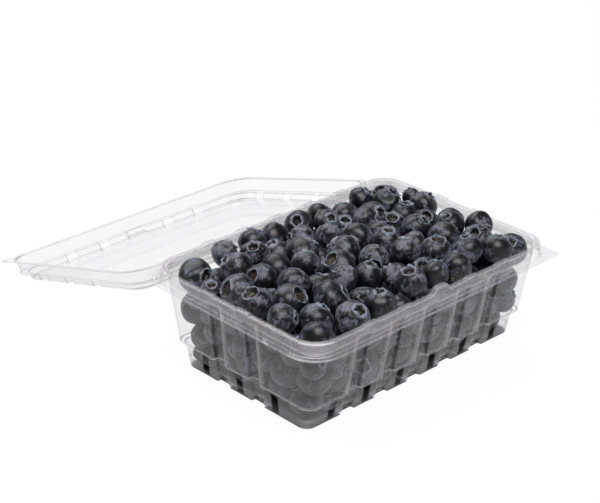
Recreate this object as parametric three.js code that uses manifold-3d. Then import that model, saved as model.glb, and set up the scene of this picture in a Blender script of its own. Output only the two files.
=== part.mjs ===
// Clear plastic punnet heaped with blueberries, its shallow lid thrown open and resting on the table.
// Millimetres, +Z up. +X runs along the tray, -Y is the front with the pull tab, +Y the hinge side.
// The origin is the middle of the tray's flat underside.
import * as THREE from "three";
import { mergeVertices } from "three/addons/utils/BufferGeometryUtils.js";
import Module from "manifold-3d";

const wasm = await Module();
wasm.setup();

// Tray: an outline of length by width at the rim, everything else is inset from it.
const LENGTH = 170;
const WIDTH = 119.4;
const SHEET = 0.55;
const CORNER_RADIUS = 14;
const CORNER_SHRINK = 0.8; // how much the radius gives way for each millimetre of inset
const CORNER_STEPS = 4;

// Heights of the tray, from its underside.
const RIM_TOP = 54;
const FLANGE_TOP = 47.1;
const WALL_TOP = 45.7;
const LEDGE = 12.9;
const LEDGE_DROP = 0.5;
const FOOT_TOP = 4;

// Insets from the outline, long sides first and short sides second where they differ.
const RIM_WIDTH = 3.4;
const FLANGE_OVERHANG = 3.6;
const WALL_TOP_INSET = 4.5;
const LEDGE_INSET = [10.4, 7.4];
const LEDGE_STEP = [2.4, 1.6];
const BASE_INSET = [15.3, 10.4];

// Corner radii of the walls, at the base and at the top.
const BASE_RADIUS = 5;
const WALL_RADIUS = 8;

// The rim is a hollow band, rounded over at the top, with a low bump above each groove.
const RIM_ROUND = 0.8;
const RIM_DRAFT = 0.1;
const RIM_BUMP = 0.8;
const RIM_BUMP_OUT = 0.3;

// Panels stand out of the walls between grooves; each has a slot below its ledge.
const LONG_PITCH = 23.5;
const SHORT_PITCH = 25.5;
const SHORT_CENTRE = 3;
const LONG_PANELS = 6;
const SHORT_PANELS = 3;
const GROOVE_HALF = 3.7;
const CREASE = 0.9;
const GROOVE_DEPTH = 2.3;
const GROOVE_DEPTH_LEDGE = 3.4;
const GROOVE_DEPTH_FOOT = 1.1;
const GROOVE_DEPTH_BASE = 3.8;
const SLOT_WIDTH = 5;
const SLOT_TOP = 11.4;
const SLOT_FLOOR_REACH = 2.5;
const SLOT_CUT_OUT = 3;

// Lift tab on the front rim, and the pointed flange corners that part the lid from the tray.
const TAB_CENTRE = 1.5;
const TAB_WIDTH = 9;
const TAB_RISE = 3.4;
const TAB_THICKNESS = 2.2;
const TAB_FLARE = 1.5;
const TAB_ROUND = 2;
const POINT_RADIUS = 2.5;

// Lid, drawn shut: its flange lies on the tray's, its first tier clears the rim, its second is the panel.
const LID_GAP = 0.3;
const LID_SHEET = 0.5;
const TIER_ONE_TOP = 55.6;
const TIER_ONE_INSET = -0.95;
const TIER_ONE_DRAFT = 0.3;
const TIER_TWO_TOP = 60;
const TIER_TWO_INSET = 3.6;
const TIER_TWO_ROUND = 1;
const PANEL_INSET = 5.4;
const PANEL_MARGIN = 2;
const FLUTE_DEPTH = 1.2;
const FLUTE_HALF = 2.6;

// The second tier steps out over the lift tab: the insets there from its foot to the panel.
const TAB_ROOM = [-0.4, -0.1, 1.2];
const TAB_ROOM_SIDE = 2;
const TAB_ROOM_ROUND = 0.5;

// Hinge line, level with the flanges and outside the back of the tray. Both flanges stop short of it.
const HINGE_OFFSET = 6.1;
const TRAY_HINGE_GAP = 0.3;
const LID_HINGE_GAP = 0.5;
const hingeY = WIDTH / 2 + HINGE_OFFSET;
const hingeZ = FLANGE_TOP + LID_GAP / 2;
const TABLE_GAP = 0.1;

// Berries: how many were poured in, from the smallest to the largest radius.
const BERRY_COUNT = 238;
const BERRY_RADIUS = [6.6, 9.6];
const BERRY_FLATNESS = 0.9;
const BERRY_SIDES = 7;
const BERRY_BANDS = [-90, -42, 8, 62];
const BERRY_GAP = 0.35;

// The heap's top: its height at the rim, the rise in the middle and the lean towards the front.
const HEAP_EDGE = 60;
const HEAP_RISE = 3.6;
const HEAP_LEAN = 1.6;
const HEAP_CORNER = 4;

// Pouring: the seed, the part of the tray that the berries start over, and how they are shaken down.
const POUR_SEED = 20240;
const POUR_SPREAD = [0.8, 0.7];
const POUR_LOW = 8;
const POUR_DEPTH = 46;
const PACK_STEPS = 260;
const PACK_DROP = 0.12;

// A berry shows where it is this near a wall, or where none covers it: higher by a part of its own
// radius and nearer, seen from above, than a part of both radii.
const NEAR_WALL = 3.5;
const COVER_RISE = 0.6;
const COVER_REACH = 0.6;

// The block in the middle of the heap stops short of the walls and of the heap's top.
const CORE_COVER = 8;
const CORE_RADIUS = 8;
const CORE_SHOULDER = 44;
const CORE_TOP = 49;

// ---- Outlines ----

const longGrooves = grooveCentres(LONG_PANELS, LONG_PITCH, 0);
const shortGrooves = grooveCentres(SHORT_PANELS, SHORT_PITCH, SHORT_CENTRE);

function grooveCentres(panels, pitch, centre) {
  return Array.from({ length: panels - 1 }, (_, i) => centre + (i + 1 - panels / 2) * pitch);
}

function slotCentres(panels, pitch, centre) {
  return Array.from({ length: panels }, (_, i) => centre + (i + 0.5 - panels / 2) * pitch);
}

// Stations round an outline, counter-clockwise from the front side: places along the sides where a
// feature starts or ends, and steps round each corner. `cut` is 1 inside a feature and 0 outside it.
function stationsRound(sides) {
  const stations = [];
  sides.forEach((features, side) => {
    const forward = side < 2 ? 1 : -1;
    const ordered = [...features].sort((p, q) => forward * (p.at - q.at));
    stations.push(...ordered.map((f) => ({ side, ...f })));
    for (let i = 0; i <= CORNER_STEPS; i++) stations.push({ side, corner: true, turn: i / CORNER_STEPS });
  });
  return stations;
}

function featureEdges(centres, half, crease, kind) {
  return centres.flatMap((c) => [
    { at: c - half - crease, cut: 0, kind },
    { at: c - half, cut: 1, kind },
    { at: c + half, cut: 1, kind },
    { at: c + half + crease, cut: 0, kind },
  ]);
}

// One ring of points at the level's insets. Sides are 0 front, 1 right, 2 back, 3 left.
function ring(stations, level) {
  const insets = [level.long, level.short, level.back ?? level.long, level.short];
  const reach = [WIDTH / 2, LENGTH / 2, WIDTH / 2, LENGTH / 2].map((half, side) => half - insets[side]);
  return stations.map((s) => {
    if (s.corner) return cornerPoint(s, reach, level);
    const away = reach[s.side] - s.cut * (level[s.kind] ?? 0);
    const z = level.z + s.cut * (level[s.kind + "Rise"] ?? 0);
    return [
      [s.at, -away, z],
      [away, s.at, z],
      [s.at, away, z],
      [-away, s.at, z],
    ][s.side];
  });
}

function cornerPoint(station, reach, level) {
  const corner = station.side;
  const pointed = level.pointedCorner === corner;
  const radius = pointed ? POINT_RADIUS : level.radius;
  const signX = corner === 0 || corner === 1 ? 1 : -1;
  const signY = corner === 1 || corner === 2 ? 1 : -1;
  const reachX = signX > 0 ? reach[1] : reach[3];
  const reachY = signY > 0 ? reach[2] : reach[0];
  const angle = ((corner - 1 + station.turn) * Math.PI) / 2;
  return [
    signX * (reachX - radius) + radius * Math.cos(angle),
    signY * (reachY - radius) + radius * Math.sin(angle),
    level.z,
  ];
}

// ---- Solids ----

function toManifold(geometry) {
  const bare = geometry.clone();
  bare.deleteAttribute("normal");
  bare.deleteAttribute("uv");
  const merged = mergeVertices(bare, 1e-4);
  const corners = merged.index.array;
  const triVerts = [];
  for (let i = 0; i < corners.length; i += 3) {
    const [a, b, c] = corners.slice(i, i + 3);
    if (a !== b && b !== c && c !== a) triVerts.push(a, b, c);
  }
  return new wasm.Manifold(
    new wasm.Mesh({
      numProp: 3,
      vertProperties: new Float32Array(merged.attributes.position.array),
      triVerts: new Uint32Array(triVerts),
    }),
  );
}

function toGeometry(solid) {
  const { vertProperties, triVerts, numProp } = solid.getMesh();
  const positions = new Float32Array((vertProperties.length / numProp) * 3);
  for (let i = 0; i < positions.length / 3; i++)
    for (let axis = 0; axis < 3; axis++) positions[3 * i + axis] = vertProperties[numProp * i + axis];
  const geometry = new THREE.BufferGeometry();
  geometry.setAttribute("position", new THREE.BufferAttribute(positions, 3));
  geometry.setIndex(new THREE.BufferAttribute(new Uint32Array(triVerts), 1));
  geometry.computeVertexNormals();
  return geometry;
}

// A closed skin through rings of equal length, capped at both ends by a fan about each ring's middle.
function skin(rings) {
  const count = rings[0].length;
  const points = rings.flat();
  const triangles = [];
  for (let r = 0; r + 1 < rings.length; r++)
    for (let i = 0; i < count; i++) {
      const a = r * count + i;
      const b = r * count + ((i + 1) % count);
      triangles.push(a, b, b + count, a, b + count, a + count);
    }
  const caps = [
    { first: 0, flip: true },
    { first: (rings.length - 1) * count, flip: false },
  ];
  for (const { first, flip } of caps) {
    const hub = points.length;
    points.push([0, 0, points[first][2]]);
    for (let i = 0; i < count; i++) {
      const a = first + i;
      const b = first + ((i + 1) % count);
      triangles.push(...(flip ? [hub, b, a] : [hub, a, b]));
    }
  }
  const geometry = new THREE.BufferGeometry();
  geometry.setAttribute("position", new THREE.Float32BufferAttribute(points.flat(), 3));
  geometry.setIndex(triangles);
  return geometry;
}

function block(x, y, z) {
  const box = new THREE.BoxGeometry(x[1] - x[0], y[1] - y[0], z[1] - z[0]);
  box.translate((x[0] + x[1]) / 2, (y[0] + y[1]) / 2, (z[0] + z[1]) / 2);
  return toManifold(box);
}

// ---- Tray ----

// The wall's outer face at each level, from the base edge up, or its inner face one sheet in.
function wallLevels(offset) {
  const ledgeEdge = LEDGE_INSET.map((inset, kind) => inset + LEDGE_STEP[kind]);
  const foot = BASE_INSET.map((inset, kind) => inset + ((ledgeEdge[kind] - inset) * FOOT_TOP) / LEDGE);
  const level = (z, insets, groove) => ({
    z,
    long: insets[0] + offset,
    short: insets[1] + offset,
    groove,
    radius: BASE_RADIUS + ((WALL_RADIUS - BASE_RADIUS) * z) / WALL_TOP,
  });
  return [
    level(offset, BASE_INSET, GROOVE_DEPTH_BASE),
    level(FOOT_TOP, foot, GROOVE_DEPTH_FOOT),
    level(LEDGE - LEDGE_DROP + offset, ledgeEdge, GROOVE_DEPTH_FOOT),
    level(LEDGE + offset, LEDGE_INSET, GROOVE_DEPTH_LEDGE),
    level(WALL_TOP, [WALL_TOP_INSET, WALL_TOP_INSET], GROOVE_DEPTH),
  ];
}

function rimLevel(z, inset, extra = {}) {
  return { z, long: inset, short: inset, radius: CORNER_RADIUS - inset * CORNER_SHRINK, ...extra };
}

// The sheet's underside from the base out to the flange's edge, then its top side back to the floor.
function trayLevels() {
  const under = FLANGE_TOP - SHEET;
  const shoulder = RIM_TOP - RIM_ROUND;
  const bump = { groove: -RIM_BUMP_OUT, grooveRise: RIM_BUMP };
  const edge = { back: -(HINGE_OFFSET - TRAY_HINGE_GAP), pointedCorner: 0 };
  return [
    ...wallLevels(0),
    rimLevel(under, RIM_WIDTH + RIM_DRAFT),
    rimLevel(shoulder, RIM_WIDTH - SHEET, bump),
    rimLevel(shoulder, RIM_ROUND, bump),
    rimLevel(under, SHEET),
    rimLevel(under, -FLANGE_OVERHANG, edge),
    rimLevel(FLANGE_TOP, -FLANGE_OVERHANG, edge),
    rimLevel(FLANGE_TOP, 0),
    rimLevel(shoulder, RIM_ROUND - SHEET, bump),
    rimLevel(RIM_TOP, RIM_ROUND, bump),
    rimLevel(RIM_TOP, RIM_WIDTH - RIM_ROUND, bump),
    rimLevel(shoulder, RIM_WIDTH, bump),
    rimLevel(FLANGE_TOP, RIM_WIDTH + RIM_DRAFT + SHEET),
    ...wallLevels(SHEET).reverse(),
  ];
}

// Blocks that cut the slots through the foot of each panel and a little way into the floor.
function slots() {
  const across = (half, kind) => {
    const inner = half - BASE_INSET[kind] - SLOT_FLOOR_REACH;
    const outer = half - LEDGE_INSET[kind] + SLOT_CUT_OUT;
    return [
      [-outer, -inner],
      [inner, outer],
    ];
  };
  const wide = (centre) => [centre - SLOT_WIDTH / 2, centre + SLOT_WIDTH / 2];
  const deep = [-1, SLOT_TOP];
  const cuts = [];
  for (const x of slotCentres(LONG_PANELS, LONG_PITCH, 0))
    for (const y of across(WIDTH / 2, 0)) cuts.push(block(wide(x), y, deep));
  for (const y of slotCentres(SHORT_PANELS, SHORT_PITCH, SHORT_CENTRE))
    for (const x of across(LENGTH / 2, 1)) cuts.push(block(x, wide(y), deep));
  return cuts;
}

function liftTab() {
  const outline = new THREE.Shape();
  const half = TAB_WIDTH / 2;
  const top = RIM_TOP + TAB_RISE;
  const root = RIM_TOP - RIM_ROUND / 2;
  outline.moveTo(-half - TAB_FLARE, root);
  outline.lineTo(half + TAB_FLARE, root);
  outline.lineTo(half, top - TAB_ROUND);
  outline.quadraticCurveTo(half, top, half - TAB_ROUND, top);
  outline.lineTo(-half + TAB_ROUND, top);
  outline.quadraticCurveTo(-half, top, -half, top - TAB_ROUND);
  outline.closePath();
  const settings = { depth: TAB_THICKNESS, bevelEnabled: false, curveSegments: 3 };
  const tab = new THREE.ExtrudeGeometry(outline, settings);
  tab.rotateX(Math.PI / 2);
  tab.translate(TAB_CENTRE, (TAB_THICKNESS + RIM_WIDTH - WIDTH) / 2, 0);
  return toManifold(tab);
}

function makeTray() {
  const stations = stationsRound([
    featureEdges(longGrooves, GROOVE_HALF, CREASE, "groove"),
    featureEdges(shortGrooves, GROOVE_HALF, CREASE, "groove"),
    featureEdges(longGrooves, GROOVE_HALF, CREASE, "groove"),
    featureEdges(shortGrooves, GROOVE_HALF, CREASE, "groove"),
  ]);
  const rings = trayLevels().map((level) => ring(stations, level));
  let tray = toManifold(skin(rings)).add(liftTab());
  for (const cut of slots()) tray = tray.subtract(cut);
  return tray;
}

// ---- Lid ----

// One side of the second tier's sheet: offset is 0 outside and a sheet inside. Over the lift tab it has
// a height and an inset of its own, and a plain ring in the panel closes the fluted wall.
function tierTwoLevels(offset) {
  const ceiling = RIM_TOP + TAB_RISE + LID_GAP + LID_SHEET;
  const steps = [
    { z: TIER_ONE_TOP, inset: TIER_TWO_INSET, roomZ: TIER_ONE_TOP },
    { z: TIER_TWO_TOP - TIER_TWO_ROUND, inset: TIER_TWO_INSET + TIER_TWO_ROUND, roomZ: ceiling },
    { z: TIER_TWO_TOP, inset: PANEL_INSET, roomZ: ceiling + TAB_ROOM_ROUND },
  ];
  const walls = steps.map(({ z, inset, roomZ }, step) =>
    rimLevel(z - offset, inset + offset, {
      flute: FLUTE_DEPTH,
      tab: TAB_ROOM[step] - inset,
      tabRise: roomZ - z,
    }),
  );
  return [...walls, rimLevel(TIER_TWO_TOP - offset, PANEL_INSET + PANEL_MARGIN)];
}

function lidLevels() {
  const under = FLANGE_TOP + LID_GAP;
  const over = under + LID_SHEET;
  const edge = { back: -(HINGE_OFFSET - LID_HINGE_GAP), pointedCorner: 3 };
  return [
    ...tierTwoLevels(LID_SHEET).reverse(),
    rimLevel(TIER_ONE_TOP - LID_SHEET, TIER_ONE_INSET + LID_SHEET + TIER_ONE_DRAFT),
    rimLevel(under, TIER_ONE_INSET + LID_SHEET),
    rimLevel(under, -FLANGE_OVERHANG, edge),
    rimLevel(over, -FLANGE_OVERHANG, edge),
    rimLevel(over, TIER_ONE_INSET),
    rimLevel(TIER_ONE_TOP, TIER_ONE_INSET + TIER_ONE_DRAFT),
    ...tierTwoLevels(0),
  ];
}

function makeLid() {
  const flutes = (centres) => featureEdges(centres, FLUTE_HALF, CREASE, "flute");
  const besideTab = longGrooves.filter((x) => Math.abs(x - TAB_CENTRE) > TAB_WIDTH);
  const tabRoom = featureEdges([TAB_CENTRE], TAB_WIDTH / 2 + TAB_ROOM_SIDE, CREASE, "tab");
  const shortFlutes = [shortGrooves[0] - SHORT_PITCH, ...shortGrooves];
  const stations = stationsRound([
    [...flutes(besideTab), ...tabRoom],
    flutes(shortFlutes),
    flutes(longGrooves),
    flutes(shortFlutes),
  ]);
  return toManifold(skin(lidLevels().map((level) => ring(stations, level))));
}

// How far below level the open lid lies when the far edge of its panel meets the table.
function lidDroop() {
  const along = hingeY + WIDTH / 2 - PANEL_INSET;
  const deep = TIER_TWO_TOP - hingeZ;
  return Math.asin((hingeZ - TABLE_GAP) / Math.hypot(along, deep)) - Math.atan2(deep, along);
}

// ---- Berries ----

// A small seeded generator, so that every run draws the same numbers.
function randomFrom(seed) {
  let state = seed;
  return () => {
    state = (state * 16807) % 2147483647;
    return state / 2147483647;
  };
}

// Inset of the inner wall's panels at a height, on the long (0) or the short (1) sides.
function wallInset(z, kind) {
  const share = (z - LEDGE) / (WALL_TOP - LEDGE);
  if (share > 1) return RIM_WIDTH + SHEET;
  if (share > 0) return SHEET + LEDGE_INSET[kind] + (WALL_TOP_INSET - LEDGE_INSET[kind]) * share;
  const foot = LEDGE_INSET[kind] + LEDGE_STEP[kind];
  return SHEET + foot + (BASE_INSET[kind] - foot) * (1 - z / LEDGE);
}

// Half the width of a ball at a distance from its middle.
function reachAt(distance, radius) {
  return distance < radius ? Math.sqrt(radius * radius - distance * distance) : 0;
}

// How far inside the outline a berry's middle has to stay, past the panel, the ledge and the grooves.
function berryInset(along, z, radius, kind) {
  const wall = wallInset(z, kind);
  let inset = wall + radius;
  const overLedge = z - LEDGE;
  const ledgeEdge = SHEET + LEDGE_INSET[kind] + LEDGE_STEP[kind];
  if (overLedge > 0) inset = Math.max(inset, ledgeEdge + reachAt(overLedge, radius));
  const overGroove = Math.max(0, z - WALL_TOP);
  const depth = overGroove > 0 ? WALL_TOP_INSET + SHEET + GROOVE_DEPTH : wall + GROOVE_DEPTH_LEDGE;
  for (const centre of kind === 0 ? longGrooves : shortGrooves) {
    const aside = Math.max(0, Math.abs(along - centre) - GROOVE_HALF - CREASE);
    const off = Math.sqrt(aside * aside + overGroove * overGroove);
    if (off < radius) inset = Math.max(inset, depth + reachAt(off, radius));
  }
  return inset + BERRY_GAP;
}

function heapTop(x, y) {
  const u = (2 * x) / LENGTH;
  const v = (2 * y) / WIDTH;
  return HEAP_EDGE - HEAP_LEAN * v + HEAP_RISE * (1 - u * u) * (1 - v * v);
}

function holdInside(berry) {
  const [x, y, z] = berry.at;
  const r = berry.radius;
  const limitX = LENGTH / 2 - berryInset(y, z, r, 1);
  const limitY = WIDTH / 2 - berryInset(x, z, r, 0);
  berry.at[0] = Math.min(limitX, Math.max(-limitX, x));
  berry.at[1] = Math.min(limitY, Math.max(-limitY, y));
  const cornerX = Math.abs(berry.at[0]) - (limitX - HEAP_CORNER);
  const cornerY = Math.abs(berry.at[1]) - (limitY - HEAP_CORNER);
  if (cornerX > 0 && cornerY > 0) {
    const out = Math.sqrt(cornerX * cornerX + cornerY * cornerY);
    if (out > HEAP_CORNER) {
      const pull = 1 - HEAP_CORNER / out;
      berry.at[0] -= Math.sign(berry.at[0]) * cornerX * pull;
      berry.at[1] -= Math.sign(berry.at[1]) * cornerY * pull;
    }
  }
  const floor = SHEET + BERRY_GAP + r;
  const ceiling = heapTop(berry.at[0], berry.at[1]) - r;
  berry.at[2] = Math.max(floor, Math.min(ceiling, z));
}

function pushApart(berries) {
  for (let i = 0; i < berries.length; i++)
    for (let j = i + 1; j < berries.length; j++) {
      const p = berries[i].at;
      const q = berries[j].at;
      const reach = berries[i].radius + berries[j].radius;
      const dx = q[0] - p[0];
      const dy = q[1] - p[1];
      const dz = q[2] - p[2];
      const squared = dx * dx + dy * dy + dz * dz;
      if (squared >= reach * reach || squared === 0) continue;
      const distance = Math.sqrt(squared);
      const share = (0.5 * (reach - distance)) / distance;
      p[0] -= dx * share;
      p[1] -= dy * share;
      p[2] -= dz * share;
      q[0] += dx * share;
      q[1] += dy * share;
      q[2] += dz * share;
    }
}

// Berries poured in at random, then shaken until they lie against the walls, the heap and each other.
function packedBerries() {
  const random = randomFrom(POUR_SEED);
  const spread = (width, share) => (random() - 0.5) * width * share;
  const berries = Array.from({ length: BERRY_COUNT }, () => {
    const size = (random() + random()) / 2;
    return {
      radius: BERRY_RADIUS[0] + (BERRY_RADIUS[1] - BERRY_RADIUS[0]) * size,
      at: [spread(LENGTH, POUR_SPREAD[0]), spread(WIDTH, POUR_SPREAD[1]), POUR_LOW + random() * POUR_DEPTH],
      axis: [random() - 0.5, random() - 0.5, random() - 0.1],
    };
  });
  for (let step = 0; step < PACK_STEPS; step++) {
    for (const berry of berries) berry.at[2] -= PACK_DROP;
    pushApart(berries);
    for (const berry of berries) holdInside(berry);
  }
  return berries;
}

function isShown(berry, berries) {
  const [x, y, z] = berry.at;
  const sideGap = Math.min(
    LENGTH / 2 - Math.abs(x) - berryInset(y, z, berry.radius, 1),
    WIDTH / 2 - Math.abs(y) - berryInset(x, z, berry.radius, 0),
  );
  if (sideGap < NEAR_WALL) return true;
  return !berries.some((other) => {
    const above = other.at[2] - z;
    const aside = Math.hypot(other.at[0] - x, other.at[1] - y);
    return above > COVER_RISE * berry.radius && aside < COVER_REACH * (other.radius + berry.radius);
  });
}

// A flattened ball with few sides, its crown end cut flat, standing along +Y before it is turned.
function berrySolid(berry) {
  const bands = BERRY_BANDS.map((degrees) => {
    const angle = THREE.MathUtils.degToRad(degrees);
    const out = degrees > -90 ? Math.cos(angle) : 0;
    return new THREE.Vector2(berry.radius * out, berry.radius * BERRY_FLATNESS * Math.sin(angle));
  });
  bands.push(new THREE.Vector2(0, bands.at(-1).y));
  const geometry = new THREE.LatheGeometry(bands, BERRY_SIDES);
  const axis = new THREE.Vector3(...berry.axis).normalize();
  const turn = new THREE.Quaternion().setFromUnitVectors(new THREE.Vector3(0, 1, 0), axis);
  geometry.applyQuaternion(turn);
  geometry.translate(...berry.at);
  return toManifold(geometry);
}

// The hidden middle of the heap: a block that stops short of the walls by most of a berry.
function coreSolid() {
  const stations = stationsRound([[], [], [], []]);
  const level = (z, cover) => {
    const [long, short] = [0, 1].map((kind) => wallInset(z, kind) + cover);
    return ring(stations, { z, long, short, radius: CORE_RADIUS });
  };
  const rings = [
    level(SHEET + BERRY_GAP, CORE_COVER),
    level(LEDGE, CORE_COVER),
    level(CORE_SHOULDER, CORE_COVER),
    level(CORE_TOP, 2 * CORE_COVER),
  ];
  return toManifold(skin(rings));
}

function makeBerries() {
  const berries = packedBerries();
  let heap = coreSolid();
  for (const berry of berries) if (isShown(berry, berries)) heap = heap.add(berrySolid(berry));
  const pieces = heap.decompose();
  return pieces.reduce((largest, piece) => (piece.volume() > largest.volume() ? piece : largest));
}

// ---- Assembly ----

function named(name, solid, material) {
  const mesh = new THREE.Mesh(toGeometry(solid), material);
  mesh.name = name;
  return mesh;
}

const clearPlastic = new THREE.MeshStandardMaterial({
  color: 0xe6e8ea,
  roughness: 0.12,
  metalness: 0,
  transparent: true,
  opacity: 0.35,
});
const berrySkin = new THREE.MeshStandardMaterial({ color: 0x2a2e3d, roughness: 0.5, metalness: 0 });

const lidLeaf = new THREE.Group();
const lid = named("lid", makeLid(), clearPlastic.clone());
lid.position.set(0, -hingeY, -hingeZ);
lidLeaf.add(lid);
lidLeaf.position.set(0, hingeY, hingeZ);
lidLeaf.rotation.x = -(Math.PI + lidDroop());

const punnet = new THREE.Group();
punnet.add(named("tray", makeTray(), clearPlastic), named("berries", makeBerries(), berrySkin), lidLeaf);

export default punnet;
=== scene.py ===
"""A clear plastic punnet heaped with blueberries, its shallow lid open behind it.

Lengths are millimetres unless a name says otherwise, and MM turns them into Blender's metres.
+X runs along the tray, -Y is the front with the lift tab, +Y the hinge side, +Z up.
"""

import math
from collections import namedtuple
from functools import partial
from itertools import product
from types import SimpleNamespace

import bmesh
import bpy
from mathutils import Matrix, Vector, noise
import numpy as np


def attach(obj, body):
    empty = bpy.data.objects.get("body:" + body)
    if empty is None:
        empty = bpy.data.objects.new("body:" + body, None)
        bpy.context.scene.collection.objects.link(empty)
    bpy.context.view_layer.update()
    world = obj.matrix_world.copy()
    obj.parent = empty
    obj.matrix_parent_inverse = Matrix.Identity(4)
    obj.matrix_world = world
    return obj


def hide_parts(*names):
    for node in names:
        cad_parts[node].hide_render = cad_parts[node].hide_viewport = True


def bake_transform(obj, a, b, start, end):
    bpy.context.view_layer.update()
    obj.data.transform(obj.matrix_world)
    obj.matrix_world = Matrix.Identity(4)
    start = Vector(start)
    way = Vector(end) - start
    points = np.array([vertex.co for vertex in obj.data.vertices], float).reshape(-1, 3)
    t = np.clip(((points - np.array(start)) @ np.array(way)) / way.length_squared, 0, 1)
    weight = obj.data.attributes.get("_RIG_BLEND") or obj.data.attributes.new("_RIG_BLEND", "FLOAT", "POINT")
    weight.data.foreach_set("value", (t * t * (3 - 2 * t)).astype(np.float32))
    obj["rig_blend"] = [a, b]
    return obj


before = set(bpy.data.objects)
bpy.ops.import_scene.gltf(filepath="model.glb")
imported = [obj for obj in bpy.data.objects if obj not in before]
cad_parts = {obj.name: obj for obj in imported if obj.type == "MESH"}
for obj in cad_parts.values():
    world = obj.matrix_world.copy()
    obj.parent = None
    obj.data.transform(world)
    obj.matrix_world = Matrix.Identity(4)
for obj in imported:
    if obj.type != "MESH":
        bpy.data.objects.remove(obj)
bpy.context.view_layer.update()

bl_info = {
    "name": "Blueberry punnet",
    "version": (1, 0, 0),
    "blender": (4, 5, 0),
    "location": "3D View > Sidebar > Punnet",
    "description": "Models a clear hinged punnet heaped with blueberries",
    "category": "Object",
}

MM = 0.001

# Thickness of the sheets and the radius of their folds, which is FOOT_BEND times as much at the foot.
SHEET = 0.55
LID_SHEET = 0.5
WEB_SHEET = 0.35
FOLD_RADIUS = 0.55
FOOT_BEND = 3
SMOOTH_ANGLE = math.radians(40)

# Tray: its outline at the rim, its heights and the insets from the outline.
LENGTH = 170
WIDTH = 119.4
CORNER_RADIUS = 14
CORNER_SHRINK = 0.8
RIM_TOP = 54
FLANGE_TOP = 47.1
WALL_TOP = 45.7
LEDGE = 12.9
LEDGE_DROP = 0.5
FOOT_TOP = 4
RIM_WIDTH = 3.4
RIM_DRAFT = 0.1
RIM_BUMP = 0.8
RIM_BUMP_OUT = 0.3
FLANGE_OVERHANG = 3.6
LIP = 0.8
WALL_TOP_INSET = 4.5
LEDGE_INSET = (10.4, 7.4)
LEDGE_STEP = (2.4, 1.6)
BASE_INSET = (15.3, 10.4)
BASE_RADIUS = 5
FLOOR_RADIUS = 3
WALL_RADIUS = 8

# Grooves between the panels, the slots at the panels' feet and the lift tab.
LONG_PITCH = 23.5
SHORT_PITCH = 25.5
SHORT_CENTRE = 3
LONG_PANELS = 6
SHORT_PANELS = 3
GROOVE_HALF = 3.7
CREASE = 0.9
GROOVE_DEPTH = 2.3
GROOVE_DEPTH_LEDGE = 3.4
GROOVE_DEPTH_FOOT = 1.1
GROOVE_DEPTH_BASE = 3.8
SLOT_HALF = 2.5
SLOT_TOP = 11.4
SLOT_FLOOR_REACH = 2.5
TAB_CENTRE = 1.5
TAB_HALF = 4.5
TAB_FLARE = 1.5
TAB_RISE = 3.4
TAB_SQUARENESS = 5
POINT_RADIUS = 2.5

# How pale and unclear the sheet is painted along its folds, as the highlights and dark edges that folds
# show: along a fold, and where a fold at some height differs; how much of the same paint lies over the
# foot and over the rim; a painted glint, how much more a fold is at a corner; and the painted highlight
# at the two creases of a groove, first the one at its lower x or y. A crease's painted highlight is
# strongest where CREASE_LINE of the groove's depth is reached.
PLAIN_FOLD = 0.7
FOLD_HIGHLIGHT = {0: 0.3, FOOT_TOP: 0.3, LEDGE: 2}
FOOT_PALE = 0.13
RIM_PALE = 0.18
CORNER_GLINT = 1.4
CREASE_HIGHLIGHT = (2.4, 0.6)
CREASE_LINE = 0.156
CREASE_PROBE = 0.1

# Lid, drawn shut and then turned open about the hinge. TAB_ROOM holds the insets of the room for the lift
# tab at its foot, at its shoulder and at the panel.
LID_GAP = 0.3
TIER_ONE_TOP = 55.6
TIER_ONE_INSET = -0.95
TIER_ONE_DRAFT = 0.3
TIER_TWO_TOP = 60
TIER_TWO_INSET = 3.6
TIER_TWO_ROUND = 1
PANEL_INSET = 5.4
PANEL_MARGIN = 2
FLUTE_DEPTH = 1.2
FLUTE_CLEAR = 0.3
FLUTE_HALF = 2.6
TAB_ROOM = (-0.4, -0.1, 1.2)
TAB_ROOM_HALF = TAB_HALF + 2
TAB_ROOM_ROUND = 0.5
HINGE_OFFSET = 6.1
HINGE_Y = WIDTH / 2 + HINGE_OFFSET
HINGE_Z = FLANGE_TOP + LID_GAP / 2
TABLE_GAP = 0.1
WEB_HALF = 2.0
WEB_DEPTH = 1.1

# Packing of the berries, the same as in the part's solids.
BERRY_COUNT = 238
BERRY_RADIUS = (6.6, 9.6)
BERRY_FLATNESS = 0.9
BERRY_GAP = 0.35
HEAP_EDGE = 60
HEAP_RISE = 3.6
HEAP_LEAN = 1.6
HEAP_CORNER = 4
POUR_SEED = 20240
POUR_SPREAD = (0.8, 0.7)
POUR_LOW = 8
POUR_DEPTH = 46
CROWN_LOW = 0.1
PACK_STEPS = 260
PACK_DROP = 0.12

# Small berries along the walls, tried in rows, largest first. They may press into their neighbours by a
# share of their radius: below the height FILL_HIDDEN by the first share, above it by the second.
FILL_RADII = (8, 7, 6, 5)
FILL_DEPTHS = (0, 3, 6)
FILL_SQUEEZE = (0.62, 0.2)
FILL_HIDDEN = 50
FILL_STEP = 2.5
FILL_ROWS = 22

# The core in the middle of the heap: its distance from the walls, its heights and how lumpy it is.
CORE_COVER = 27
CORE_LOW = 16
CORE_TOP = 38
CORE_CUTS = 11
CORE_ROUND = 0.3
CORE_LUMP = 0.05
CORE_LUMP_SCALE = 4

# Floor: its gap under the tray. Inside the outline of the base its glow drops, as a painted shadow under
# the punnet, to FLOOR_LIGHT within FLOOR_EDGE, and to nothing within FLOOR_SHADE more.
FLOOR_GAP = 0.3
FLOOR_EDGE = 0.3
FLOOR_SHADE = 2
FLOOR_LIGHT = 0.06
FLOOR_REACH = 4000

# How finely the sheets are drawn.
CORNER_STEPS = 10
EASE_STEPS = 4
BEND_STEPS = 3
TAB_STEPS = 10
WEB_STEPS = (24, 12)


# ---- Settings that a user would change ----


def setting(name, description, default, kind=bpy.props.FloatProperty, **limits):
    return kind(name=name, description=description, default=default, min=0, **limits)


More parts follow.
